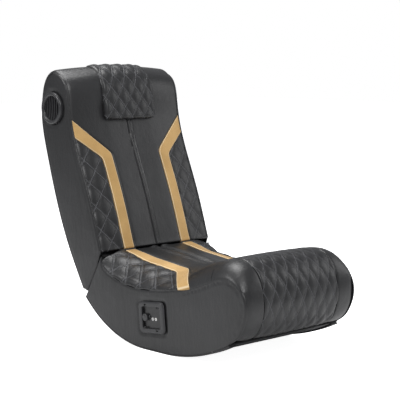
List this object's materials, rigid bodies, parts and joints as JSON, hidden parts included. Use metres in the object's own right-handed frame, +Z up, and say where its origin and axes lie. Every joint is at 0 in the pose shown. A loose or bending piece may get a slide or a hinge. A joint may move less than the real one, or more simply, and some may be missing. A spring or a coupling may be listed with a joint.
{
  "type": "gaming floor rocker chair",
  "caption": "Legless floor rocker chair with quilted back, bolster seat, gold stripes, side speakers and a control panel; the back folds down over the seat.",
  "frame": {"origin": "middle of the chair's bounding box, on the floor under its rocker", "axes": "+X to the sitter's left, -Y is the front, +Z up; the chair mirrors across X apart from the control panel"},
  "size_m": [0.456, 0.877, 0.7942],
  "materials": {
    "black_cover": "satin",
    "gold_cover": "satin",
    "webbing": "matte",
    "plywood": "matte",
    "steel": "satin",
    "runner_steel": "satin",
    "socket": "satin",
    "plastic": "satin"
  },
  "bodies": {
    "seat": {"amplifier": "plastic", "base_board": "plywood", "bolster": "black_cover", "bolster_end_left": "black_cover", "bolster_end_right": "black_cover", "control_bezel": "plastic", "control_plate": "plastic", "hinge_pin_left": "steel", "hinge_pin_right": "steel", "jack_1": "socket", "jack_2": "socket", "runner_left": "runner_steel", "runner_right": "runner_steel", "seat_board_left": "plywood", "seat_board_right": "plywood", "seat_cross_board_1": "plywood", "seat_cross_board_2": "plywood", "seat_cushion": "black_cover", "seat_deck": "plywood", "seat_front_board": "plywood", "seat_leaf_left": "steel", "seat_leaf_right": "steel", "seat_rail_front": "plywood", "seat_rail_rear": "plywood", "seat_side_left": "black_cover", "seat_side_right": "black_cover", "seat_stripe_left": "gold_cover", "seat_stripe_right": "gold_cover", "seat_wing_left": "black_cover", "seat_wing_right": "black_cover"},
    "back": {"back_board_left": "plywood", "back_board_right": "plywood", "back_cushion": "black_cover", "back_deck": "webbing", "back_leaf_left": "steel", "back_leaf_right": "steel", "back_rail_lower": "plywood", "back_rail_middle": "plywood", "back_rail_top": "plywood", "back_rear_cover": "black_cover", "back_side_left": "black_cover", "back_side_right": "black_cover", "back_stripe_left": "gold_cover", "back_stripe_right": "gold_cover", "back_wing_left": "black_cover", "back_wing_right": "black_cover", "headrest_pad": "black_cover", "speaker_basket_left": "plastic", "speaker_basket_right": "plastic", "speaker_grille_left": "plastic", "speaker_grille_right": "plastic", "speaker_magnet_left": "steel", "speaker_magnet_right": "steel"},
    "knob": {"volume_knob": "plastic"},
    "button": {"power_button": "plastic"}
  },
  "joints": [
    {"name": "back_fold", "type": "hinge", "parent": "seat", "child": "back", "pos_m": [0, 0.15148, 0.25], "axis": [1, 0, 0], "range_deg": [0, 92]},
    {"name": "volume_turn", "type": "hinge", "parent": "seat", "child": "knob", "pos_m": [-0.215, -0.04574, 0.09346], "axis": [-1, 0, 0], "range_deg": [0, 300]},
    {"name": "power_press", "type": "slide", "parent": "seat", "child": "button", "axis": [1, 0, 0], "range_m": [0, 0.0015], "stiffness_N_per_m": 600, "springref_m": -0.001}
  ]
}
